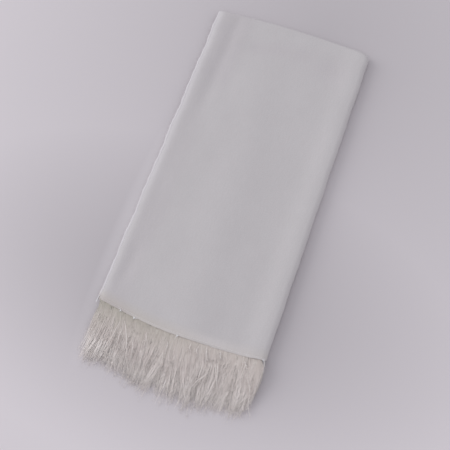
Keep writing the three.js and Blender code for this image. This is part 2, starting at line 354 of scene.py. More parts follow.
def laid_cloth(u_lines, v_lines, place):
    """A bmesh grid, one line for each value given, whose points go where place() takes them."""
    bm = bmesh.new()
    bmesh.ops.create_grid(bm, x_segments=len(u_lines) - 1, y_segments=len(v_lines) - 1, size=1)
    bm.verts.ensure_lookup_table()
    flat = np.array([v.co[:2] for v in bm.verts])
    u = u_lines[np.rint((flat[:, 0] + 1) / 2 * (len(u_lines) - 1)).astype(int)]
    v = v_lines[np.rint((flat[:, 1] + 1) / 2 * (len(v_lines) - 1)).astype(int)]
    layer = bm.loops.layers.uv.new("cut")
    for face in bm.faces:
        for loop in face.loops:
            at = loop.vert.index
            loop[layer].uv = (u[at] * MM, v[at] * MM)
    for vert, co in zip(bm.verts, place(u, v) * MM):
        vert.co = co
    return bm


def lines(*stops):
    """Values from the first stop to the last. Each stop after the first is (value, number of steps)."""
    values = [float(stops[0])]
    for value, steps in stops[1:]:
        values += list(np.linspace(values[-1], value, steps + 1)[1:])
    return np.array(values)


def thicken(piece, thickness, offset=-1):
    """The piece with a live wall, its thickness in mm: inwards, or to both sides at an offset of 0."""
    solid = piece.modifiers.new("thickness", "SOLIDIFY")
    solid.thickness, solid.offset = thickness * MM, offset
    return piece


def paint(piece, name, values):
    """Gives each point of the piece a value that its material reads."""
    piece.data.attributes.new(name, "FLOAT", "POINT").data.foreach_set("value", values.astype(np.float32))


# The plain cloth, its paler tone that is partly painted highlight, its pinker tone for thin places and
# painted shade, and a warm tint where the cream trim lies under it
CHIFFON = (0.63, 0.605, 0.61, 1)
CHIFFON_PALE = (0.75, 0.72, 0.745, 1)
CHIFFON_PINK = (0.595, 0.56, 0.575, 1)
CHIFFON_WARM = (1, 0.965, 0.875, 1)
# The wave texture turns through 20 radians in one unit
THREAD_PITCH = 0.0006
WAVES_PER_METRE = 2 * math.pi / (20 * THREAD_PITCH)
SLUB_SCALE = (1100, 60, 1)
PATTERN_MIDDLE = (0.3, 0.7)
PATTERN_TONES = {
    "cloud": (0.985, 1.015), "slub": (0.975, 1.02), "crepe": (0.97, 1.03), "weave": (0.95, 1.04),
}


def chiffon_material():
    """Sheer crepe with a fine weave and slubs. Where it is painted it is paler, partly as painted
    highlight; dimmer and pinker where it is thin and where shade is painted; or warmer.
    """
    material, surface, tree = shader("chiffon", {
        "Roughness": 0.7, "Specular IOR Level": 0.22, "Sheen Weight": 0.15, "Sheen Roughness": 0.45,
    })
    cut = add_node(tree, "ShaderNodeUVMap", uv_map="cut")
    warp, weft = (
        add_node(
            tree, "ShaderNodeTexWave", {"Vector": cut.outputs[0]},
            bands_direction=way, Scale=WAVES_PER_METRE, Distortion=1.2, Detail=1.0,
        )
        for way in "XY"
    )
    weave = add_node(
        tree, "ShaderNodeMath", {0: warp.outputs["Fac"], 1: weft.outputs["Fac"]}, operation="MULTIPLY"
    )
    crepe = add_node(tree, "ShaderNodeTexNoise", {"Vector": cut.outputs[0]}, Scale=520.0, Detail=3.0)
    cloud = add_node(tree, "ShaderNodeTexNoise", {"Vector": cut.outputs[0]}, Scale=14.0, Detail=4.0)
    slub_place = add_node(tree, "ShaderNodeMapping", {"Vector": cut.outputs[0]})
    slub_place.inputs["Scale"].default_value = SLUB_SCALE
    slub = add_node(tree, "ShaderNodeTexNoise", {"Vector": slub_place.outputs[0]}, Scale=1.0, Detail=2.0)

    def ramp(source, tones):
        shades = add_node(tree, "ShaderNodeMapRange", {"Value": source})
        keys = ("From Min", "From Max", "To Min", "To Max")
        for key, value in zip(keys, PATTERN_MIDDLE + tones):
            shades.inputs[key].default_value = value
        return shades.outputs[0]

    # The pale tint is partly painted highlight, and the thin one is partly painted shade
    warm = add_node(tree, "ShaderNodeAttribute", attribute_name="tape_under")
    pale = add_node(tree, "ShaderNodeAttribute", attribute_name="pale")
    thin = add_node(tree, "ShaderNodeAttribute", attribute_name="thin")
    colour = mixed(tree, CHIFFON, pale.outputs["Fac"], CHIFFON_PALE)
    colour = mixed(tree, colour, thin.outputs["Fac"], CHIFFON_PINK)
    colour = mixed(tree, colour, warm.outputs["Fac"], CHIFFON_WARM, "MULTIPLY")
    patterns = {"cloud": cloud, "slub": slub, "crepe": crepe, "weave": weave}
    for name, tones in PATTERN_TONES.items():
        colour = mixed(tree, colour, 1.0, ramp(patterns[name].outputs[0], tones), "MULTIPLY")
    tree.links.new(colour, surface.inputs["Base Color"])
    grain = add_node(
        tree, "ShaderNodeMath", {0: weave.outputs[0], 1: crepe.outputs["Fac"]}, operation="ADD"
    )
    bump = add_node(tree, "ShaderNodeBump", {"Height": grain.outputs[0]}, Strength=0.3, Distance=0.00012)
    tree.links.new(bump.outputs[0], surface.inputs["Normal"])
    return material


chiffon = chiffon_material()
FOLD_END = ACROSS_TOP + FOLD_RUN
U_LINES = lines(0, (10, 12), (ACROSS_TOP, 88), (FOLD_END, 14), (FOLD_END + RETURN_RUN, 4))
V_LINES = lines(0, (12, 14), (TOP_RUN, 188), (TOP_RUN + BEND_RUN, 20), (2 * TOP_RUN + BEND_RUN, 50))
panel = finished("shawl_panel", laid_cloth(U_LINES, V_LINES, outer_place), chiffon)

# Where the cloth is tinted, and where shade and highlight are painted on it, in mm: across the
# packet, along it and from the hem
TRIM_UNDER = {"from": 1, "reach": 19, "share": 0.95, "less_at_right": 0.4, "across": (-110, 110)}
THIN_AND_SHADED = {
    "corner": {"across": (-88, -62), "from_hem": (3, 9), "share": 0.9},
    "left": {"rise": (-122, -108), "fall": (-95, -70), "share": 0.5, "less": 0.18, "along": (-110, -40)},
    "far_left_shade": {"rise": (-122, -108), "fall": (-80, -55), "share": 0.55, "along": (90, 150)},
    "far_shade_band": {"rise": (-64, -45), "fall": (25, 52), "share": 0.45, "at": 212, "slant": 0.15, "width": 13},
    "far_shade_spot": {"at": (75, 205), "width": 24, "share": 0.5},
}
PALE = {
    "near_hem": {"at": 45, "width": 42, "rise": (-1, 3), "fall": (6, 18), "share": 0.6},
    "left_edge": {"across": (-120, -110), "share": 0.1, "more": 0.25, "along": (-110, -60)},
}


def band(value, part):
    """1 between the part's rise and its fall, and 0 outside them."""
    return smooth(value, *part["rise"]) * (1 - smooth(value, *part["fall"]))


def over_feathers(x, y):
    """How strongly the trim shows through the cloth and at its left corner, and mm from the hem."""
    over_hem = y + HALF_LENGTH + hem_bow(x)
    through = np.clip(1 - (over_hem + TRIM_UNDER["from"]) / TRIM_UNDER["reach"], 0, 1)
    through = through * (
        TRIM_UNDER["share"] - TRIM_UNDER["less_at_right"] * smooth(x, *TRIM_UNDER["across"])
    )
    part = THIN_AND_SHADED["corner"]
    corner = (1 - smooth(x, *part["across"])) * (1 - smooth(over_hem, *part["from_hem"]))
    return through, corner, over_hem


def thin_and_shaded_places(x, y, corner, on_top):
    """How much dimmer the cloth is: where fewer leaves lie under it on the left, at the near left corner,
    and with painted shade in the far part of the top.
    """
    part = THIN_AND_SHADED["left"]
    left = band(x, part) * (part["share"] - part["less"] * smooth(y, *part["along"]))
    part = THIN_AND_SHADED["far_left_shade"]
    left = np.maximum(left, part["share"] * (band(x, part) * smooth(y, *part["along"])))
    part = THIN_AND_SHADED["far_shade_band"]
    off = (y - part["at"] - part["slant"] * x) / part["width"]
    far = part["share"] * (band(x, part) * np.exp(-(off**2)))
    part = THIN_AND_SHADED["far_shade_spot"]
    off_x, off_y = (x - part["at"][0]) / part["width"], (y - part["at"][1]) / part["width"]
    far = far + part["share"] * np.exp(-(off_x**2) - off_y**2)
    return np.maximum(left, THIN_AND_SHADED["corner"]["share"] * corner * on_top) + far * on_top


def pale_and_highlight_places(x, y, over_hem, on_top):
    """How much paler the cloth is over the middle of the hem, and along the left edge, where it is partly
    painted highlight and partly the whiter cloth by the hem.
    """
    part = PALE["near_hem"]
    middle = np.exp(-(((x - part["at"]) / part["width"]) ** 2)) * on_top
    hem = part["share"] * middle * band(over_hem, part)
    part = PALE["left_edge"]
    edge = part["share"] + part["more"] * smooth(y, *part["along"])
    return np.maximum(hem, edge * (1 - smooth(x, *part["across"])) * on_top)


points = np.array([v.co for v in panel.data.vertices]) / MM
panel_x, panel_y = points[:, 0], points[:, 1]
on_top = points[:, 2] > CREASE
through, corner, over_hem = over_feathers(panel_x, panel_y)
# On the top only: the warm tint over the trim, the thin places with painted shade, and the pale places with
# painted highlight
paint(panel, "tape_under", through * on_top)
paint(panel, "thin", thin_and_shaded_places(panel_x, panel_y, corner, on_top))
paint(panel, "pale", pale_and_highlight_places(panel_x, panel_y, over_hem, on_top))
thicken(panel, PANEL_THICKNESS)
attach(panel, "root")
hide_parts("shawl_outer_leaf")

# The panel's rolled hem, turned three times and caught with white thread, runs up the free left edge
# and along the near end. Each run is a soft flat roll with the small stitches of its thread on it.
HEM_ROLL = {
    "half_width": 1.6, "half_height": 0.5, "centre": 1.3, "points": 12,
    "unevenness": 0.35, "wave": 7, "seed": (4.2, 0.5),
}
STITCH = {
    "length": 1.9, "width": 0.36, "height": 0.3, "pitch": 2.9, "inset": 3.1, "stray": 0.12, "uneven": 0.08,
    "first": 4, "last": 3,
}
THREAD, THREAD_DARK_SHARE = (0.90, 0.90, 0.91, 1), 0.93
# How strongly the trim and the left corner tint the hem, as shares of the panel's tint
HEM_TINTS = {"tape_under": 0.8, "thin": 0.9}
# The step in mm over which the way of the cloth is measured, and the distance in metres of a weld
NUDGE = 0.5
WELD = 0.00001


def facing(u, v):
    """The way that the folded cloth faces at u, v."""
    across = outer_place(u + NUDGE, v) - outer_place(u - NUDGE, v)
    lengthwise = outer_place(u, v + NUDGE) - outer_place(u, v - NUDGE)
    out = np.cross(across, lengthwise)
    return out / np.linalg.norm(out, axis=1, keepdims=True)


def uneven(places, wave, seed):
    """Smooth unevenness at places in mm along a piece, with bumps about as long as the wave."""
    return np.array([noise.noise(Vector((at / wave, *seed))) for at in places])


def roll(name, run, place_run, material):
    """A closed flat roll laid along the cloth; place_run gives u, v for a distance along and an inset."""
    turns = np.arange(HEM_ROLL["points"] + 1) / HEM_ROLL["points"] * 2 * math.pi

    def place(along_run, turn):
        girth = 1 + HEM_ROLL["unevenness"] * uneven(along_run, HEM_ROLL["wave"], HEM_ROLL["seed"])
        inset = HEM_ROLL["centre"] - HEM_ROLL["half_width"] * np.cos(turn) * girth
        u, v = place_run(along_run, inset)
        lift = HEM_ROLL["half_height"] * np.sin(turn) * girth - PANEL_THICKNESS / 4
        below = smooth(v, TOP_RUN, TOP_RUN + BEND_RUN)
        return outer_place(u, v) + facing(u, v) * (lift - below * HEM_ROLL["half_height"])[:, None]

    bm = laid_cloth(run, turns, place)
    bmesh.ops.remove_doubles(bm, verts=bm.verts, dist=WELD)
    bmesh.ops.holes_fill(bm, edges=[e for e in bm.edges if e.is_boundary], sides=HEM_ROLL["points"])
    bmesh.ops.recalc_face_normals(bm, faces=bm.faces)
    return finished(name, bm, material)


def copies(name, template, places, material):
    """One joined mesh of the template's copies, each put in place by an origin and three axes."""
    points = np.array([v.co for v in template.verts])
    faces = np.array([[v.index for v in f.verts] for f in template.faces])
    template.free()
    origin, axes = places
    spots = origin[:, None] + np.einsum("pk,nkc->npc", points, axes)
    mesh = bpy.data.meshes.new(name)
    shift = np.arange(len(origin))[:, None, None] * len(points)
    mesh.from_pydata((spots.reshape(-1, 3) * MM).tolist(), [], (faces + shift).reshape(-1, 3).tolist())
    mesh.materials.append(material)
    mesh.shade_smooth()
    return placed(name, mesh)


def striped(tree, surface, bands, colour, dark_share):
    """Colours the surface in bands, the dark ones with a share of the colour."""
    dark = (*(dark_share * c for c in colour[:3]), 1)
    tree.links.new(mixed(tree, dark, bands.outputs["Fac"], colour), surface.inputs["Base Color"])


def thread_material():
    """White sewing thread, with the fine bands of its twist."""
    material, surface, tree = shader("thread", {"Roughness": 0.45, "Sheen Weight": 0.2})
    place = add_node(tree, "ShaderNodeTexCoord").outputs["Object"]
    twist = add_node(tree, "ShaderNodeTexWave", {"Vector": place}, Scale=900.0, Distortion=1.0)
    striped(tree, surface, twist, THREAD, THREAD_DARK_SHARE)
    return material


def stitched(name, starts, place_run, material):
    """Stitches on the cloth, one at each distance given, lying along the run."""
    template = bmesh.new()
    bmesh.ops.create_uvsphere(template, u_segments=6, v_segments=4, radius=0.5)
    bmesh.ops.triangulate(template, faces=template.faces)
    inset = np.full(len(starts), STITCH["inset"]) + rng.normal(0, STITCH["stray"], len(starts))
    u, v = place_run(starts, inset)
    u_on, v_on = place_run(starts + NUDGE, inset)
    spot, out = outer_place(u, v), facing(u, v)
    way = outer_place(u_on, v_on) - spot
    way /= np.linalg.norm(way, axis=1, keepdims=True)
    side = np.cross(out, way)
    long = STITCH["length"] * (1 + rng.normal(0, STITCH["uneven"], len(starts)))
    axes = np.stack([side * STITCH["width"], out * STITCH["height"], way * long[:, None]], axis=1)
    return copies(name, template, (spot, axes), material)


rng = np.random.default_rng(11)
thread = thread_material()
# A hem's pale share is its whiter rolled cloth, and on the left hem, which faces the lamp, also painted
# highlight
HEM_RUNS = (
    {
        "name": "left_hem", "to": 2 * TOP_RUN + BEND_RUN - 1, "steps": 420, "pale": 0.7,
        "place": lambda run, inset: (inset, run),
    },
    {
        "name": "near_hem", "to": FOLD_END - 2, "steps": 150, "pale": 0.25,
        "place": lambda run, inset: (run, inset),
    },
)
hems = []
for hem in HEM_RUNS:
    run = np.linspace(0, hem["to"], hem["steps"] + 1)
    hem_roll = roll(hem["name"], run, hem["place"], chiffon)
    spots = np.array([v.co for v in hem_roll.data.vertices]) / MM
    through, corner, over_hem = over_feathers(spots[:, 0], spots[:, 1])
    paint(hem_roll, "pale", hem["pale"] * (1 - corner))
    paint(hem_roll, "tape_under", HEM_TINTS["tape_under"] * through * (spots[:, 2] > CREASE))
    paint(hem_roll, "thin", HEM_TINTS["thin"] * corner)
    hems.append(hem_roll)
    starts = np.arange(STITCH["first"], hem["to"] - STITCH["last"], STITCH["pitch"])
    hems.append(stitched(hem["name"] + "_stitches", starts, hem["place"], thread))
for piece in hems:
    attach(piece, "root")
    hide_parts("shawl_outer_leaf")

# Small knots of the same white thread fasten the trim under the hem: four along the near end, three of
# them with a short end of thread. A longer tail hangs loose at each near corner of the panel.
# Places are in mm across and along the cut.
KNOTS = ((37.4, -0.6, 2.3), (58.7, -0.8, 2.5), (123.8, -0.6, 2.3), (246.5, 0.2, 1.6))
KNOT = {"beads": 3, "turn": 2.2, "lift": 0.15, "spread": 0.28, "height": 0.3, "shape": (1, 0.6, 0.55)}
TAILS = (
    {"way": ((0.6, -5.4, 0.2), (0.9, -3, 1.0), (0.9, 0.5, 1.3), (1.4, 4.4, 0.9)), "width": 1.1},
    {"way": ((244, 0.6, 0.7), (247.5, -2.2, 1.5), (250, -4.4, 1.0), (249, -7, 0.4)), "width": 0.8},
    {"way": ((58.7, -0.4, 0.8), (61, -2.2, 1.4), (63, 0.4, 1.2)), "width": 0.45},
    {"way": ((123.8, 0, 0.8), (122.4, -2.5, 1.2), (123, -4.6, 0.6)), "width": 0.45},
    {"way": ((37.4, 0, 0.8), (35.6, 1.8, 1.2), (34, 0.8, 0.9)), "width": 0.4},
)


def on_cloth(u, v, height):
    """A place in mm at a height over the folded cloth."""
    u, v = np.array([float(u)]), np.array([float(v)])
    return (outer_place(u, v) + facing(u, v) * height)[0]


def tail(name, way, width):
    """A tube of thread through the places given as u, v and height."""
    curve = bpy.data.curves.new(name, "CURVE")
    curve.dimensions, curve.bevel_depth, curve.bevel_resolution = "3D", width / 2 * MM, 2
    curve.use_fill_caps = True
    spline = curve.splines.new("NURBS")
    spline.points.add(len(way) - 1)
    spline.use_endpoint_u, spline.order_u, spline.resolution_u = True, 3, 6
    for point, at in zip(spline.points, way):
        point.co = (*(on_cloth(*at) * MM), 1)
    curve.materials.append(thread)
    drawn = bpy.data.objects.new(name + "_curve", curve)
    bpy.context.scene.collection.objects.link(drawn)
    mesh = bpy.data.meshes.new_from_object(drawn.evaluated_get(bpy.context.evaluated_depsgraph_get()))
    bpy.data.objects.remove(drawn)
    mesh.shade_smooth()
    return placed(name, mesh)


bm = bmesh.new()
for u, v, size in KNOTS:
    for bead in range(KNOT["beads"]):
        turn = bead * KNOT["turn"] + u
        offset = Vector((math.cos(turn), math.sin(turn), KNOT["lift"] * bead)) * size * KNOT["spread"]
        at = Matrix.Translation((Vector(on_cloth(u, v, size * KNOT["height"])) + offset) * MM)
        shape = Matrix.Diagonal((*(size * share for share in KNOT["shape"]), 1))
        matrix = at @ (Matrix.Rotation(turn, 4, "Z") @ shape)
        bmesh.ops.create_icosphere(bm, subdivisions=2, radius=0.5 * MM, matrix=matrix)
knots = [finished("thread_knots", bm, thread)]
knots += [tail(f"thread_tail_{i + 1}", t["way"], t["width"]) for i, t in enumerate(TAILS)]
for piece in knots:
    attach(piece, "root")

# The folded leaves inside the packet, of the same cloth. A soft core fills it. Round the core lie turned
# folds and free edges of single leaves, which show along the open left side, at the near end of the
# lower half, and nested in the near end of the right fold.
CORE = {"left": 9, "right": 7, "near": 16, "lower_end": 14, "sunk": 0.9, "above_crease": 0.12}
LEAF_THICKNESS = 0.4


def core_place(height):
    """Where folding takes the core's underside, at height 0, or its outside, at height 1."""
    def place(u, v):
        share, turn = station(v)
        x = u - HALF_WIDTH
        full = full_rise(x, share, turn)
        return hairpin(x, CORE["above_crease"] + (full - CORE["sunk"]) * height, full, share, turn)

    return place


core_u = lines(CORE["left"], (2 * HALF_WIDTH - CORE["right"], 40))
core_end = 2 * TOP_RUN + BEND_RUN - CORE["lower_end"]
core_v = lines(CORE["near"], (TOP_RUN, 60), (TOP_RUN + BEND_RUN, 14), (core_end, 40))
bm = laid_cloth(core_u, core_v, core_place(0))
inner_side = [v.co.copy() for v in bm.verts]
grown = bmesh.ops.extrude_face_region(bm, geom=bm.faces[:], use_keep_orig=True)["geom"]
top_verts = [g for g in grown if isinstance(g, bmesh.types.BMVert)]
full_side = laid_cloth(core_u, core_v, core_place(1))
outer_side = {tuple(round(c, 6) for c in a): b.co.copy() for a, b in zip(inner_side, full_side.verts)}
for vert in top_verts:
    vert.co = outer_side[tuple(round(c, 6) for c in vert.co)]
full_side.free()
bmesh.ops.recalc_face_normals(bm, faces=bm.faces)
core = finished("shawl_core", bm, chiffon)

# Leaves on the left, by share of the half's height: a turned fold has two, a free edge one
LEFT_LEAVES = (
    {"name": "left_fold_outer", "high": 0.86, "low": 0.64, "inset": 1.4, "seed": 1.3},
    {"name": "left_fold_inner", "high": 0.56, "low": 0.36, "inset": 2.6, "seed": 5.9},
    {"name": "left_edge_inner", "high": 0.20, "low": None, "inset": 1.9, "seed": 9.4},
)
LEAF_DEPTH = 14
FOLD_POINTS = 9
LEFT_LEAF = {"from": 14, "to": 4, "nose": 1.4, "edge": 0.8, "edge_lift": 0.05}
LEFT_DRIFT, LEFT_FLUTTER = {"depth": 1.6, "wave": 60}, {"depth": 0.4, "wave": 23}


def turned_fold(inner, high, low, nose):
    """The profile of a leaf that turns back on itself: places inwards in mm, and heights."""
    middle, half = (high + low) / 2, (high - low) / 2
    turns = np.linspace(0, math.pi, FOLD_POINTS)
    curve = np.stack([nose * (1 - np.sin(turns)), middle + half * np.cos(turns)], axis=1)
    return np.vstack([(inner, high), curve, (inner, low)])


def cloth_leaf(name, u_lines, v_lines, place):
    """A single leaf of the cloth, with its wall to both sides."""
    return thicken(finished(name, laid_cloth(u_lines, v_lines, place), chiffon), LEAF_THICKNESS, offset=0)


def left_leaf(leaf):
    """A ribbon of cloth with its fold or free edge outwards, round the whole packet."""
    inner = LEAF_DEPTH - leaf["inset"]
    if leaf["low"] is None:
        profile = np.array([(at, leaf["high"]) for at in (inner, inner / 2, LEFT_LEAF["edge"], 0)])
    else:
        profile = turned_fold(inner, leaf["high"], leaf["low"], LEFT_LEAF["nose"])

    def place(v, side):
        inward, height = profile[side.astype(int)].T
        drift = uneven(v, LEFT_DRIFT["wave"], (leaf["seed"], 0))
        flutter = uneven(v, LEFT_FLUTTER["wave"], (leaf["seed"], 3))
        share, turn = station(v)
        x = -HALF_WIDTH + leaf["inset"] + inward
        x = x + LEFT_DRIFT["depth"] * drift + LEFT_FLUTTER["depth"] * flutter
        full = full_rise(x, share, turn)
        edge_share = 1 - np.clip(inward / inner, 0, 1)
        return hairpin(x, (height + LEFT_LEAF["edge_lift"] * flutter * edge_share) * full, full, share, turn)

    end = 2 * TOP_RUN + BEND_RUN - LEFT_LEAF["to"]
    v_lines = lines(LEFT_LEAF["from"], (TOP_RUN, 110), (TOP_RUN + BEND_RUN, 14), (end, 90))
    return cloth_leaf(leaf["name"], v_lines, np.arange(len(profile)), place)


# The three turned folds at the near end of the lower half, from the top one down, in mm
NEAR_FOLDS = (
    {"name": "near_fold_upper", "high": 4.6, "low": 3.65, "back": 0, "seed": 2.2},
    {"name": "near_fold_middle", "high": 3.4, "low": 2.5, "back": 1.1, "seed": 6.1},
    {"name": "near_fold_lower", "high": 2.25, "low": 1.4, "back": 2.2, "seed": 8.8},
)
NEAR_FOLD = {"depth": 20, "nose": 0.9, "back": 0.3, "drift": 0.7, "wave": 40, "lift": 0.1}
NEAR_FOLD_SIDES = {"left": 4, "right": 6}


def near_fold(fold):
    """A ribbon of cloth across the packet, its fold towards the near end."""
    profile = turned_fold(NEAR_FOLD["depth"], fold["high"], fold["low"], NEAR_FOLD["nose"])

    def place(x, side):
        inward, height = profile[side.astype(int)].T
        drift = uneven(x, NEAR_FOLD["wave"], (fold["seed"], 1))
        end = along(x, np.zeros(len(x)), np.full(len(x), math.pi))
        y = end + NEAR_FOLD["back"] + fold["back"] + inward + NEAR_FOLD["drift"] * drift
        return np.stack([x + wander(x, y), y, height + NEAR_FOLD["lift"] * drift], axis=-1)

    across = lines(NEAR_FOLD_SIDES["left"] - HALF_WIDTH, (HALF_WIDTH - NEAR_FOLD_SIDES["right"], 90))
    return cloth_leaf(fold["name"], across, np.arange(len(profile)), place)


# Leaves nested inside the long right fold, which show only at its near end, by depth in mm
RIGHT_LEAVES = (
    {"name": "right_leaf_outer", "depth": 1.1, "back": 2.6},
    {"name": "right_leaf_middle", "depth": 2.2, "back": 3.4},
    {"name": "right_leaf_inner", "depth": 3.3, "back": 2.9},
)
RIGHT_LEAF = {"from_fold": 2.6, "length": 60}


def right_leaf(leaf):
    """A strip of cloth that follows the inside of the right fold at its near end."""
    def place(u, v):
        return outer_place(u, v, leaf["depth"])

    across = lines(ACROSS_TOP + RIGHT_LEAF["from_fold"], (FOLD_END, 10))
    lengthwise = lines(leaf["back"], (RIGHT_LEAF["length"], 12))
    return cloth_leaf(leaf["name"], across, lengthwise, place)


inner_leaves = [core]
inner_leaves += [left_leaf(leaf) for leaf in LEFT_LEAVES]
inner_leaves += [near_fold(fold) for fold in NEAR_FOLDS]
inner_leaves += [right_leaf(leaf) for leaf in RIGHT_LEAVES]
for piece in inner_leaves:
    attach(piece, "root")
    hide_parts("shawl_folded_layers")

# The tapes of the two feather trims: cream ribbed ribbons, each sewn flat inside one short end of the
# panel, so that only its feathers come out from under the hem.
TAPE = {"thickness": 0.6, "width": 9, "set_back": 0.9, "left": -121, "upper_gap": 0.7, "lower_share": 0.3}
TRIMS = (
    {"name": "tape_upper", "node": "feather_trim_upper"},
    {"name": "tape_lower", "node": "feather_trim_lower"},
)
TAPE_COLOUR, TAPE_DARK_SHARE = (0.70, 0.64, 0.56, 1), 0.88


def tape_top(node, x, y):
    """How high the top of a trim's tape lies, between the leaves that it is sewn to."""
    rise = leaf_rise(x, y)
    if node == "feather_trim_upper":
        return CREASE + (rise - TAPE["upper_gap"])
    return CREASE + TAPE["lower_share"] * rise


def tape_material():
    """Cream ribbon with fine ribs."""
    material, surface, tree = shader("tape", {"Roughness": 0.7})
    cut = add_node(tree, "ShaderNodeUVMap", uv_map="cut")
    ribs = add_node(tree, "ShaderNodeTexWave", {"Vector": cut.outputs[0]}, Scale=260.0, Distortion=0.4)
    striped(tree, surface, ribs, TAPE_COLOUR, TAPE_DARK_SHARE)
    bump = add_node(tree, "ShaderNodeBump", {"Height": ribs.outputs["Fac"]}, Strength=0.4, Distance=0.0003)
    tree.links.new(bump.outputs[0], surface.inputs["Normal"])
    return material


def laid_tape(trim):
    """A trim's ribbon, laid along the hem."""
    def place(x, inward):
        y = hem_line(x) + TAPE["set_back"] + inward
        return np.stack([x, y, tape_top(trim["node"], x, y)], axis=-1)

    bm = laid_cloth(lines(TAPE["left"], (FOLD_START, 90)), lines(0, (TAPE["width"], 6)), place)
    return thicken(finished(trim["name"], bm, cream_tape), TAPE["thickness"])


cream_tape = tape_material()
for trim in TRIMS:
    tape = laid_tape(trim)
    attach(tape, "root")
    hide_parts(trim["node"])

# The feathers: cream plumes in three rows, tied by their quills to the tapes. Each is a fan of long soft
# barbs with fine barbules on them, and thin webs where barbs cling together.
# How far the plumes reach out from the hem at places across the packet, in mm
UPPER_REACH = (
    (-125, 78), (-100, 82), (-80, 70), (-45, 79), (15, 82), (35, 64), (50, 52), (78, 58), (95, 66), (116, 82)
)
UNDER_REACH = ((-125, 84), (-60, 82), (10, 90), (40, 84), (60, 82), (116, 84))
LOWER_REACH = ((-125, 88), (-60, 85), (10, 93), (60, 88), (116, 86))
# The rows under the upper one have lighter tones (shade and vane_tone): painted light against the shade that
# the upper row casts on them
FEATHER_ROWS = (
    {
        "name": "feathers_upper", "node": "feather_trim_upper", "seed": 21, "reach": UPPER_REACH,
        "barbs": 17, "side": 0.1, "loft": 3.2, "tip": 2.2, "scatter": 1.0, "strands": 0.07,
        "shade": 0.26, "barbules": 18, "vanes": 38, "vane_depth": (-0.4, 0.4), "vane_tone": 0.52,
    },
    {
        "name": "feathers_upper_under", "node": "feather_trim_upper", "seed": 34, "reach": UNDER_REACH,
        "barbs": 19, "side": -0.5, "loft": 2.8, "tip": 1.6, "scatter": 0.8, "strands": 0.04,
        "shade": 0.30, "barbules": 19, "vanes": 31, "vane_depth": (-0.5, 0.5), "vane_tone": 0.7,
    },
    {
        "name": "feathers_lower", "node": "feather_trim_lower", "seed": 55, "reach": LOWER_REACH,
        "barbs": 20, "side": 0, "loft": 3.2, "tip": 0.9, "scatter": 0.65, "strands": 0.04,
        "shade": 0.30, "barbules": 19, "vanes": 32, "vane_depth": (-0.4, 0.5), "vane_tone": 0.7,
    },
)
PLUMES = {"count": 44, "from": -115, "to": 113, "stray": 1.2, "clear_of_ends": 2, "rooted": 1.5}
# Which way the plumes point at places across the packet: 0 is straight out, and they curl towards the tip
LEAN = (
    {"x": -116, "root": 0.30, "curl": -0.62},
    {"x": -100, "root": 0.20, "curl": -0.35},
    {"x": -70, "root": 0.20, "curl": -0.10},
    {"x": 88, "root": 0.16, "curl": -0.14},
    {"x": 113, "root": 0.25, "curl": -0.88},
)
# How unlike each other plumes are, times the scatter of their row, and less so at both ends of a row
SCATTER = {"lean": 0.13, "bend": 0.16, "sway": 0.06, "sway_turn": 5, "reach": (-0.13, 0.08), "tip": 0.5}
AT_ENDS = {"from": 90, "over": 25, "less_lean": 0.6, "less_bend": 0.5}
# How far barbs spread from their plume in mm, how long they are for it, and the form of one
TUFT = {"root": 2.2, "belly": 3.8, "belly_stray": 0.8, "tip": 3.4, "loose_share": 0.36, "loose_tip": 9}
BARB_LENGTH = {"least": 0.45, "more": 0.6, "bias": (2.2, 1.3), "wisp_share": 0.07, "wisp": (0.98, 1.16)}
BARB = {
    "steps": 8, "radius": 0.23, "tip_radius": 0.05, "flatness": 0.45, "taper": 0.7,
    "unevenness": 0.35, "waver": 0.1,
}
BARBULE = {
    "length": 7.0, "least": 0.35, "spread": (0.6, 1.15), "radius": 0.11, "foot": (1.6, 1.4),
    "angle": (0.35, 1.0), "roll": 0.2, "droop": 0.03, "from": (0.02, 0.985), "towards_tip": 0.6,
    "longest": (0.08, 0.8),
}
VANE = {
    "width": 1.45, "thickness": 0.09, "reach": (0.5, 1.06), "droop": 0.2, "uneven_tone": 0.05,
    "root": 2.4, "belly": 3.6, "tip": 2.6, "tip_share": 0.5, "widths": (0.6, 1.3),
    "base": 0.55, "swell": 0.45, "swell_early": 0.7, "point": 2.4,
    "twist": 0.05, "twist_turns": (3, 8), "twist_start": (0, 6),
}
# The share of a barb that stays on its tape, the least heights of barbs and barbules over the table, and
# the side past which strays are drawn back by a share
ROOTED, BARB_FLOOR, BARBULE_FLOOR = 0.05, 0.6, 0.35
SIDE_LIMIT, SIDE_PULL = 124, 0.6
VANE_LINES, VANE_GRAIN = 4, 0.03
# The tone of a feather, from dark at 0 to light at 1, and the painted light and shade that change it
# with its place in the fringe
BARB_TONE = {"middle": 0.53, "uneven": 0.04, "strand": 0.3, "strand_girth": 1.5, "barbules": -0.05}
# The share at the root of a pale strand that has no barbules, and the root that tapers where it is free
STRAND_CLEAR, FREE_ROOT = 0.35, (-0.1, 0.35)
FRINGE_EDGE = ((-125, 68), (-100, 74), (-60, 84), (10, 92), (60, 90), (116, 82))
PAINTED_FRINGE_LIGHT = {
    "tips": 0.75, "tips_from": 0.52, "middle": -0.03, "middle_at": (0.1, 0.5),
    "left": -0.01, "left_at": (-85, -40), "barb_tips": 0.14, "barb_middle": 0.4,
}
ROOT_TINT = {"share": 1.0, "less_at_right": 0.65, "across": (-100, 60), "reach": 0.6}
# Painted light and shade by height: barbs and webs that lie low in a row are lighter, against the shade of
# those above them, and high ones darker
DEEPER_PAINTED_LIGHT = 0.35
FEATHER_DARK, FEATHER_LIGHT = (0.56, 0.475, 0.44, 1), (0.99, 0.928, 0.89, 1)
FEATHER_ROOT = (0.65, 0.68, 0.61, 1)


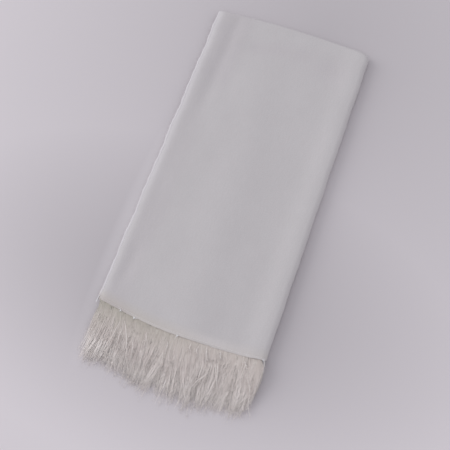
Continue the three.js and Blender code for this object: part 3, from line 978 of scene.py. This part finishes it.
def feather_material():
    """Cream feather with a soft sheen: dark to light by its tone, which carries painted light and shade,
    olive near its root, finely ribbed.
    """
    material, surface, tree = shader("feather", {
        "Roughness": 0.55, "Specular IOR Level": 0.3, "Sheen Weight": 0.4, "Sheen Roughness": 0.6,
    })
    tone = add_node(tree, "ShaderNodeAttribute", attribute_name="tone")
    root = add_node(tree, "ShaderNodeAttribute", attribute_name="root")
    across = add_node(tree, "ShaderNodeAttribute", attribute_name="across")
    lines_across = add_node(tree, "ShaderNodeMath", {0: across.outputs["Fac"]}, operation="MULTIPLY")
    lines_across.inputs[1].default_value = VANE_LINES * math.pi
    line = add_node(tree, "ShaderNodeMath", {0: lines_across.outputs[0]}, operation="SINE")
    grain = add_node(tree, "ShaderNodeMath", {0: line.outputs[0]}, operation="MULTIPLY_ADD")
    grain.inputs[1].default_value = VANE_GRAIN
    tree.links.new(tone.outputs["Fac"], grain.inputs[2])
    bump = add_node(tree, "ShaderNodeBump", {"Height": line.outputs[0]}, Strength=0.2, Distance=0.0002)
    tree.links.new(bump.outputs[0], surface.inputs["Normal"])
    shade = mixed(tree, FEATHER_DARK, grain.outputs[0], FEATHER_LIGHT)
    tinted = mixed(tree, shade, root.outputs["Fac"], FEATHER_ROOT, "MULTIPLY")
    tree.links.new(tinted, surface.inputs["Base Color"])
    return material


def plume_lines(row, rng):
    """The middle line of each plume of a row: plumes by points by x, y, z in mm, and its heading."""
    count, loose = PLUMES["count"], row["scatter"]
    at = np.linspace(PLUMES["from"], PLUMES["to"], count) + rng.normal(0, PLUMES["stray"], count)
    places = [row_at["x"] for row_at in LEAN]
    lean, curl = (np.interp(at, places, [row_at[key] for row_at in LEAN]) for key in ("root", "curl"))
    edge = np.clip(np.abs(at) - AT_ENDS["from"], 0, AT_ENDS["over"]) / AT_ENDS["over"]
    lean += loose * rng.normal(0, SCATTER["lean"], count) * (1 - AT_ENDS["less_lean"] * edge)
    reach = np.interp(at, *np.transpose(row["reach"])) * (1 + loose * rng.uniform(*SCATTER["reach"], count))
    s = np.linspace(0, 1, BARB["steps"] + 1)
    bend = curl + loose * rng.normal(0, SCATTER["bend"], count) * (1 - AT_ENDS["less_bend"] * edge)
    phase = rng.uniform(0, 2 * math.pi, count)
    sway = SCATTER["sway"] * np.sin(SCATTER["sway_turn"] * s + phase[:, None])
    heading = lean[:, None] + bend[:, None] * s + sway
    step = (reach / BARB["steps"])[:, None]
    zero = np.zeros((count, 1))
    root_x = np.clip(at, TAPE["left"] + PLUMES["clear_of_ends"], FOLD_START - PLUMES["clear_of_ends"])
    x = root_x[:, None] + np.hstack([zero, np.cumsum(np.sin(heading[:, :-1]) * step, axis=1)])
    root_y = hem_line(root_x) + TAPE["set_back"] + PLUMES["rooted"]
    y = root_y[:, None] - np.hstack([zero, np.cumsum(np.cos(heading[:, :-1]) * step, axis=1)])
    root_z = tape_top(row["node"], root_x, root_y) - TAPE["thickness"] / 2 + row["side"]
    fall = smooth(s, 0, 1)
    tip = row["tip"] + rng.uniform(-SCATTER["tip"], SCATTER["tip"], count)
    z = root_z[:, None] * (1 - fall) + tip[:, None] * fall + row["loft"] * np.sin(math.pi * s)
    return np.stack([x, y, z], axis=-1), heading, s


def points_along(paths, who, share):
    """Places at shares of the way along the paths given, and the number of the point before each."""
    steps = paths.shape[1] - 1
    step = share * steps
    low = np.minimum(step.astype(int), steps - 1)
    part = (step - low)[..., None]
    return paths[who, low] * (1 - part) + paths[who, low + 1] * part, low


def swing(root, belly, tip, s):
    """How far a line swings aside of its plume, from its root by its belly to its tip."""
    return root[:, None] * (1 - s) + (belly[:, None] * 4 * (1 - s) + tip[:, None] * s) * s


def kept_in(path, s):
    """The lines, rooted on the tape, drawn back in where they stray past the sides, and off the table."""
    rooted = np.clip(path[..., 0], TAPE["left"], FOLD_START + 1)
    x = np.where(s < ROOTED, rooted, path[..., 0])
    path[..., 0] = x - np.sign(x) * np.maximum(np.abs(x) - SIDE_LIMIT, 0) * SIDE_PULL
    path[..., 2] = np.maximum(path[..., 2], BARB_FLOOR)
    return path


def barb_lines(row, rng):
    """The middle line of each barb of a row, each following its plume with its own swing aside."""
    middle, heading, s = plume_lines(row, rng)
    who = np.repeat(np.arange(PLUMES["count"]), row["barbs"])[:, None]
    count = len(who)
    length = BARB_LENGTH["least"] + BARB_LENGTH["more"] * rng.beta(*BARB_LENGTH["bias"], count)
    wisp = rng.random(count) < BARB_LENGTH["wisp_share"]
    length = np.where(wisp, rng.uniform(*BARB_LENGTH["wisp"], count), length)
    path, low = points_along(middle, who, length[:, None] * s)
    turn = heading[who, low]
    spread = rng.normal(0, 1, count)
    loose = rng.random(count) < TUFT["loose_share"]
    tip = np.where(loose, rng.normal(0, TUFT["loose_tip"], count), spread * TUFT["tip"])
    root = rng.normal(0, TUFT["root"], count)
    belly = spread * TUFT["belly"] + rng.normal(0, TUFT["belly_stray"], count)
    aside = swing(root, belly, tip, s)
    path[..., 0] += aside * np.cos(turn)
    path[..., 1] += aside * np.sin(turn)
    rise = rng.normal(0, BARB["unevenness"], count)
    path[..., 2] += (rise[:, None] + BARB["waver"] * rng.normal(0, 1, path.shape[:2])) * s
    return kept_in(path, s), s, middle, rise


def unit(vectors):
    """The vectors at a length of one."""
    return vectors / np.linalg.norm(vectors, axis=-1, keepdims=True)


def three_sided(rings, tips):
    """Closed pointed shafts: the verts and faces of lines of three-cornered rings, with a tip for each."""
    count, points = rings.shape[:2]
    verts = np.concatenate([rings.reshape(count, -1, 3), tips[:, None]], axis=1)
    ring = np.arange(points - 1)[:, None] * 3 + np.arange(3)
    after = np.arange(points - 1)[:, None] * 3 + (np.arange(3) + 1) % 3
    walls = np.concatenate([
        np.stack([ring, after, after + 3], -1).reshape(-1, 3),
        np.stack([ring, after + 3, ring + 3], -1).reshape(-1, 3),
    ])
    last = verts.shape[1] - 4
    point = np.array([(last + k, last + (k + 1) % 3, last + 3) for k in range(3)])
    shape = np.vstack([walls, point, [(2, 1, 0)]])
    faces = shape[None] + (np.arange(count) * verts.shape[1])[:, None, None]
    return verts, faces.reshape(-1, 3)


def vanes(row, middle, s, rng):
    """The thin ribbons where barbs cling together, closed and three sided, along each plume's middle."""
    who = np.repeat(np.arange(PLUMES["count"]), row["vanes"])[:, None]
    count = len(who)
    path, _ = points_along(middle, who, rng.uniform(*VANE["reach"], count)[:, None] * s)
    root, belly = rng.normal(0, VANE["root"], count), rng.normal(0, VANE["belly"], count)
    tip = belly * VANE["tip_share"] + rng.normal(0, VANE["tip"], count)
    path[..., 0] += swing(root, belly, tip, s)
    rise = rng.uniform(*row["vane_depth"], count)
    path[..., 2] += rise[:, None] - VANE["droop"] * s
    path = kept_in(path, s)
    side = unit(np.cross(unit(np.gradient(path, axis=1)), (0, 0, 1)))
    swelled = VANE["base"] + VANE["swell"] * np.sin(math.pi * s ** VANE["swell_early"])
    width = VANE["width"] / 2 * swelled * (1 - s ** VANE["point"])
    width = width * rng.uniform(*VANE["widths"], count)[:, None]
    turns = rng.uniform(*VANE["twist_turns"], count)[:, None]
    twist = VANE["twist"] * np.sin(s * turns + rng.uniform(*VANE["twist_start"], count)[:, None])
    left, right = path + side * width[..., None], path - side * width[..., None]
    left[..., 2] += twist
    right[..., 2] -= twist
    top = path + np.array((0, 0, VANE["thickness"]))
    verts, faces = three_sided(np.stack([left, top, right], axis=2)[:, :-1], path[:, -1])
    along_blade = np.append(np.repeat(s[:-1], 3), 1)
    across_blade = np.append(np.tile((1.0, 0.0, -1.0), len(s) - 1), 0)
    along_all, across_all = np.tile(along_blade, count), np.tile(across_blade, count)
    rises = np.repeat(rise, verts.shape[1])
    return verts.reshape(-1, 3), faces[:, ::-1], along_all, across_all, rises


def axes_along(path):
    """The way along each line, and the two directions across it."""
    way = unit(np.gradient(path, axis=1))
    side = unit(np.cross(way, (0, 0, 1)))
    return way, side, np.cross(side, way)


def stems(path, s, thickness, free_root=False):
    """A closed shaft of three sides along each line, tapered to its tip, and to its root if that is free."""
    way, side, up = axes_along(path)
    taper = (1 - s) ** BARB["taper"] * (smooth(s, *FREE_ROOT) if free_root else 1)
    radius = BARB["tip_radius"] + thickness[:, None] * taper
    turns = np.radians((90, 210, 330))
    level, raised = np.cos(turns)[:, None], (BARB["flatness"] * np.sin(turns))[:, None]
    out = side[:, :, None] * level + up[:, :, None] * raised
    rings = path[:, :, None] + out * radius[:, :, None, None]
    verts, faces = three_sided(rings[:, :-1], path[:, -1])
    nearness = np.tile(np.append(np.repeat(s[:-1], 3), 1), (len(path), 1))
    return verts, faces, nearness


def barbules(path, where, rng):
    """Fine pointed hairs, four faces each, that leave each line at the shares given."""
    count, many = where.shape
    way, side, up = axes_along(path)
    who = np.arange(count)[:, None]
    foot, low = points_along(path, who, where)
    ahead, beside, above = way[who, low], side[who, low], up[who, low]
    hand = np.where(rng.random((count, many)) < 0.5, -1, 1)
    angle = rng.uniform(*BARBULE["angle"], (count, many))
    tilt = rng.normal(0, BARBULE["roll"], (count, many))
    aside = beside * (hand * np.cos(tilt))[..., None] + above * np.sin(tilt)[..., None]
    least, (shift, stretch) = BARBULE["least"], BARBULE["longest"]
    reach = BARBULE["length"] * (least + (1 - least) * np.sin(math.pi * (shift + stretch * where)))
    reach = reach * rng.uniform(*BARBULE["spread"], where.shape)
    end = foot + (ahead * np.cos(angle)[..., None] + aside * np.sin(angle)[..., None]) * reach[..., None]
    end[..., 2] = np.maximum(end[..., 2] - BARBULE["droop"] * reach, BARBULE_FLOOR)
    long, high = (BARBULE["radius"] * share for share in BARBULE["foot"])
    first, second, third = foot + ahead * long, foot - ahead * long, foot + above * high
    inward = np.einsum("...c,...c", np.cross(second - first, third - first), end - first) > 0
    first, second = np.where(inward[..., None], second, first), np.where(inward[..., None], first, second)
    verts = np.stack([first, second, third, end], axis=-2)
    corners = np.array([(0, 1, 2), (1, 0, 3), (2, 1, 3), (0, 2, 3)])
    faces = corners[None] + (np.arange(count * many) * 4)[:, None, None]
    return verts.reshape(-1, 3), faces.reshape(-1, 3)


def joined_feather(name, groups):
    """One mesh of groups of verts, faces and values. A group with a place across it is flat webs."""
    verts = np.vstack([g["verts"] for g in groups])
    starts = np.cumsum([0] + [len(g["verts"]) for g in groups])
    faces = np.vstack([g["faces"] + start for g, start in zip(groups, starts)])
    mesh = bpy.data.meshes.new(name)
    mesh.from_pydata((verts * MM).tolist(), [], faces.tolist())
    mesh.materials.append(plume_cream)
    smoothed = np.concatenate([np.full(len(g["faces"]), "across" not in g) for g in groups])
    mesh.polygons.foreach_set("use_smooth", smoothed)
    piece = placed(name, mesh)
    for key in ("tone", "root", "across"):
        values = [g.get(key, np.zeros(len(g["verts"]))) for g in groups]
        paint(piece, key, np.clip(np.concatenate(values), -1, 1))
    return piece


def root_tint(x, s):
    """How olive and dim the feathers are near the tape, most at the left corner."""
    share = ROOT_TINT["share"] - ROOT_TINT["less_at_right"] * smooth(x, *ROOT_TINT["across"])
    return share * np.clip(1 - s / ROOT_TINT["reach"], 0, 1)


def painted_fringe_light(verts, share):
    """Painted light at the fringe's outer tips and towards the tips of its barbs, and painted shade from
    mid length on; the left side is also a little darker.
    """
    x, y = verts[:, 0], verts[:, 1]
    out = (hem_line(x) - y) / np.interp(x, *np.transpose(FRINGE_EDGE))
    tips = PAINTED_FRINGE_LIGHT["tips"] * smooth(out, PAINTED_FRINGE_LIGHT["tips_from"], 1)
    middle = PAINTED_FRINGE_LIGHT["middle"] * smooth(out, *PAINTED_FRINGE_LIGHT["middle_at"])
    left = PAINTED_FRINGE_LIGHT["left"] * (1 - smooth(x, *PAINTED_FRINGE_LIGHT["left_at"]))
    return tips + middle + left + PAINTED_FRINGE_LIGHT["barb_tips"] * (share - PAINTED_FRINGE_LIGHT["barb_middle"])


def feathers(row):
    """One joined mesh of all barbs of a row, each with its fine barbules, over their soft webs."""
    rng = np.random.default_rng(row["seed"])
    path, s, middle, rise = barb_lines(row, rng)
    count = len(path)
    strand = rng.random(count) < row["strands"]
    # Each barb's tone: its row's, uneven at random, lighter for pale strands, and painted lighter where it
    # lies low in its row and darker where it lies high
    tone = BARB_TONE["middle"] + row["shade"] + rng.normal(0, BARB_TONE["uneven"], count)
    tone = tone + BARB_TONE["strand"] * strand - DEEPER_PAINTED_LIGHT * rise
    girth = np.where(strand, BARB_TONE["strand_girth"], 1)
    shafts, shaft_faces, shaft_s = stems(path, s, BARB["radius"] * girth)
    where = rng.uniform(*BARBULE["from"], (count, row["barbules"])) ** BARBULE["towards_tip"]
    where = np.where(strand[:, None], STRAND_CLEAR + (1 - STRAND_CLEAR) * where, where)
    hairs, hair_faces = barbules(path, where, rng)
    webs, web_faces, web_s, web_across, web_rise = vanes(row, middle, s, rng)
    shafts = shafts.reshape(-1, 3)
    hair_s = np.repeat(where.ravel(), 4)
    hair_tone = np.repeat(tone + BARB_TONE["barbules"], row["barbules"] * 4)
    blades = PLUMES["count"] * row["vanes"]
    web_tone = row["vane_tone"] + np.repeat(rng.normal(0, VANE["uneven_tone"], blades), len(web_s) // blades)
    groups = (
        {
            "verts": shafts, "faces": shaft_faces, "root": root_tint(shafts[:, 0], shaft_s.ravel()),
            "tone": np.repeat(tone, shaft_s.shape[1]) + painted_fringe_light(shafts, shaft_s.ravel()),
        },
        {
            "verts": hairs, "faces": hair_faces, "root": root_tint(hairs[:, 0], hair_s),
            "tone": hair_tone + painted_fringe_light(hairs, hair_s),
        },
        {
            "verts": webs, "faces": web_faces, "root": root_tint(webs[:, 0], web_s), "across": web_across,
            "tone": web_tone + painted_fringe_light(webs, web_s) - DEEPER_PAINTED_LIGHT * web_rise,
        },
    )
    return joined_feather(row["name"], groups)


# Long pale strands that lie loose over the plumes: the root, the tip, the bow aside and the width, in mm
STRANDS = (
    ((-77, -267), (-52, -325), -2, 0.62),
    ((-82, -270), (-83, -329), 3, 0.46),
    ((-75, -279), (-77, -309), 1, 0.4),
    ((-57, -285), (-50, -315), -1, 0.4),
    ((-36, -301), (-35, -328), 1, 0.42),
    ((-13, -288), (-6, -315), -1, 0.4),
    ((57, -294), (37, -332), 2, 0.56),
    ((53, -300), (38, -328), -1, 0.4),
    ((64, -276), (77, -316), 1, 0.62),
    ((60, -281), (71, -306), -1, 0.42),
    ((41, -260), (52, -283), 1, 0.46),
    ((58, -257), (66, -272), 0, 0.4),
    ((107, -281), (121, -312), -1, 0.46),
    ((114, -306), (116, -338), 1, 0.4),
    ((118, -304), (129, -332), 2, 0.4),
    ((122, -252), (125.5, -271), -1, 0.42),
    ((19, -266), (23, -278), 0, 0.5),
    ((31, -265), (35, -281), 0.5, 0.55),
    ((43, -264), (49, -289), 1, 0.55),
    ((62, -262), (65, -273), 0, 0.45),
    ((98, -262), (104, -276), 0.5, 0.5),
    ((-11, -274), (-8, -290), 0.5, 0.45),
    ((-42, -272), (-39, -290), -0.5, 0.45),
)
STRAND = {
    "girth": 1.4, "rise": 1.6, "seat": 8, "waver": 2.4, "wave": 1.9, "apart": 3.7, "seed": 0.4, "reach": 80,
    "barbules": 36, "barbules_from": (0.15, 0.99), "tone": 1, "barbule_tone": 0.95,
}


def loose_strands(name, rng):
    """The strands of the table above, each resting on the plumes of the upper trim."""
    upper = FEATHER_ROWS[0]
    s = np.linspace(0, 1, 2 * BARB["steps"] + 1)
    root, tip, bow, width = (np.array(column, float) for column in zip(*STRANDS))
    root, tip = root[:, None], tip[:, None]
    line = tip - root
    across = np.stack([line[..., 1], -line[..., 0]], axis=-1) / np.linalg.norm(line, axis=-1, keepdims=True)
    bulge = np.sin(math.pi * s)
    flat = root + line * s[:, None] + across * bow[:, None, None] * bulge[:, None]
    waver = [
        [noise.noise(Vector((i * STRAND["apart"], at * STRAND["wave"], STRAND["seed"]))) for at in s]
        for i in range(len(STRANDS))
    ]
    flat += across * (STRAND["waver"] * np.array(waver) * bulge)[..., None]
    x, y = flat[..., 0], flat[..., 1]
    out = np.clip((hem_line(x) - y) / STRAND["reach"], 0, 1)
    fall = smooth(out, 0, 1)
    rest = tape_top(upper["node"], x, hem_line(x)) * (1 - fall) + upper["tip"] * fall
    lift = STRAND["rise"] * np.minimum(out * STRAND["seat"], 1)
    height = rest + upper["loft"] * np.sin(math.pi * out) + lift
    path = np.concatenate([flat, height[..., None]], axis=-1)
    shafts, shaft_faces, shaft_s = stems(path, s, STRAND["girth"] * width, free_root=True)
    where = rng.uniform(*STRAND["barbules_from"], (len(STRANDS), STRAND["barbules"]))
    hairs, hair_faces = barbules(path, where, rng)
    groups = (
        {
            "verts": shafts.reshape(-1, 3), "faces": shaft_faces,
            "tone": np.full(shaft_s.size, float(STRAND["tone"])),
        },
        {"verts": hairs, "faces": hair_faces, "tone": np.full(len(hairs), STRAND["barbule_tone"])},
    )
    return joined_feather(name, groups)


plume_cream = feather_material()
feather_pieces = [feathers(row) for row in FEATHER_ROWS]
feather_pieces.append(loose_strands("feather_strands", np.random.default_rng(5)))
for piece, row in zip(feather_pieces, FEATHER_ROWS + FEATHER_ROWS[:1]):
    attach(piece, "root")
    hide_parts(row["node"])
